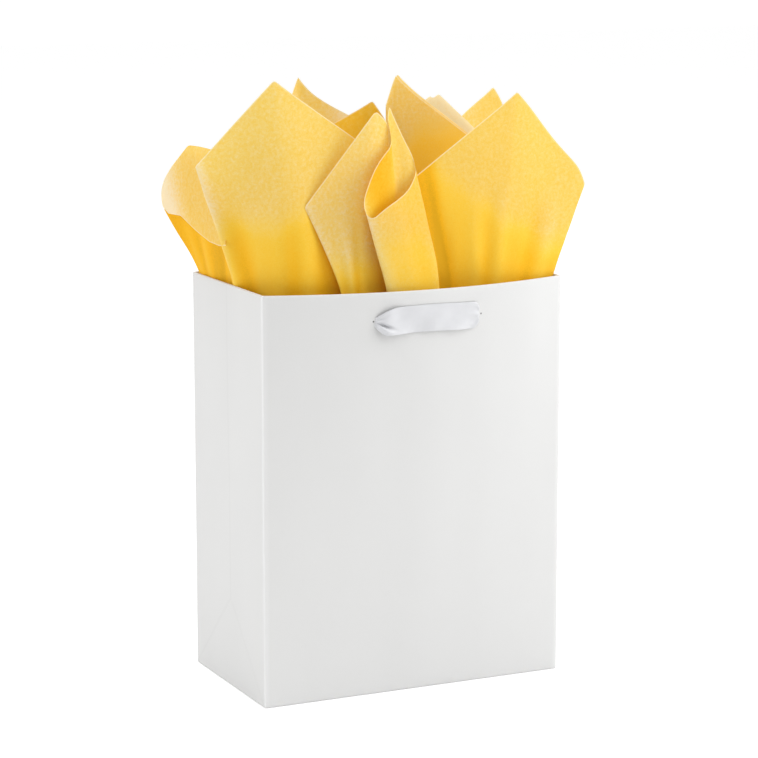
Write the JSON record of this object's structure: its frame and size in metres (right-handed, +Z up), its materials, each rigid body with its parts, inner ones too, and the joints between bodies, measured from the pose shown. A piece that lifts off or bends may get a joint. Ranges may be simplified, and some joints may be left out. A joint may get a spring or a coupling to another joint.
{
  "type": "gift bag",
  "caption": "Upright paper gift bag with side gussets, ribbon handles through punched holes and tissue sheets fanned out of its open top.",
  "frame": {"origin": "centre of the base, on the surface the bag stands on", "axes": "+Z up, front panel facing -Y, gusseted sides facing -X and +X"},
  "size_m": [0.248, 0.1568, 0.3651],
  "materials": {
    "paper": "matte",
    "card": "matte",
    "ribbon": "satin",
    "tissue": "thin and translucent"
  },
  "bodies": {
    "bag": {"bag_body": "paper", "base_board": "card", "front_card": "card", "back_card": "card", "front_tail_left": "ribbon", "front_tail_right": "ribbon", "back_tail_left": "ribbon", "back_tail_right": "ribbon"},
    "front_necks": {"front_neck_left": "ribbon", "front_neck_right": "ribbon"},
    "front_strap": {"front_strap": "ribbon"},
    "front_knots": {"front_knot_left": "ribbon", "front_knot_right": "ribbon"},
    "back_necks": {"back_neck_left": "ribbon", "back_neck_right": "ribbon"},
    "back_strap": {"back_strap": "ribbon"},
    "back_knots": {"back_knot_left": "ribbon", "back_knot_right": "ribbon"},
    "left_tissue": {"left_tissue": "tissue"},
    "front_tissue": {"front_tissue": "tissue"},
    "right_tissue": {"right_tissue": "tissue"},
    "back_tissue": {"back_tissue": "tissue"}
  },
  "joints": [
    {"name": "front_handle_raise", "type": "hinge", "parent": "bag", "child": "front_necks", "pos_m": [0, -0.06743, 0.228], "axis": [-1, 0, 0], "range_deg": [0, 80]},
    {"name": "front_handle_pull", "type": "slide", "parent": "front_necks", "child": "front_strap", "axis": [0, -1, 0], "range_m": [0, 0.0851]},
    {"name": "front_knots_rise", "type": "slide", "parent": "bag", "child": "front_knots", "axis": [0, -0.0666, 0.9978], "range_m": [0, 0.0851], "deforming": ["front_tail_left", "front_tail_right"]},
    {"name": "back_handle_raise", "type": "hinge", "parent": "bag", "child": "back_necks", "pos_m": [0, 0.062, 0.228], "axis": [1, 0, 0], "range_deg": [0, 80]},
    {"name": "back_handle_pull", "type": "slide", "parent": "back_necks", "child": "back_strap", "axis": [0, 1, 0], "range_m": [0, 0.0851]},
    {"name": "back_knots_rise", "type": "slide", "parent": "bag", "child": "back_knots", "axis": [0, 0.0347, 0.9994], "range_m": [0, 0.0851], "deforming": ["back_tail_left", "back_tail_right"]},
    {"name": "left_tissue_lift", "type": "slide", "parent": "bag", "child": "left_tissue", "axis": [0, 0, 1], "range_m": [0, 0.17]},
    {"name": "front_tissue_lift", "type": "slide", "parent": "bag", "child": "front_tissue", "axis": [0, 0, 1], "range_m": [0, 0.17]},
    {"name": "right_tissue_lift", "type": "slide", "parent": "bag", "child": "right_tissue", "axis": [0, 0, 1], "range_m": [0, 0.17]},
    {"name": "back_tissue_lift", "type": "slide", "parent": "bag", "child": "back_tissue", "axis": [0, 0, 1], "range_m": [0, 0.17]}
  ],
  "couplings": [
    {"joint": "front_handle_pull", "follows": "front_handle_raise", "m_per_rad": 0.06087},
    {"joint": "front_knots_rise", "follows": "front_handle_raise", "m_per_rad": 0.06087},
    {"joint": "back_handle_pull", "follows": "back_handle_raise", "m_per_rad": 0.06087},
    {"joint": "back_knots_rise", "follows": "back_handle_raise", "m_per_rad": 0.06087}
  ]
}
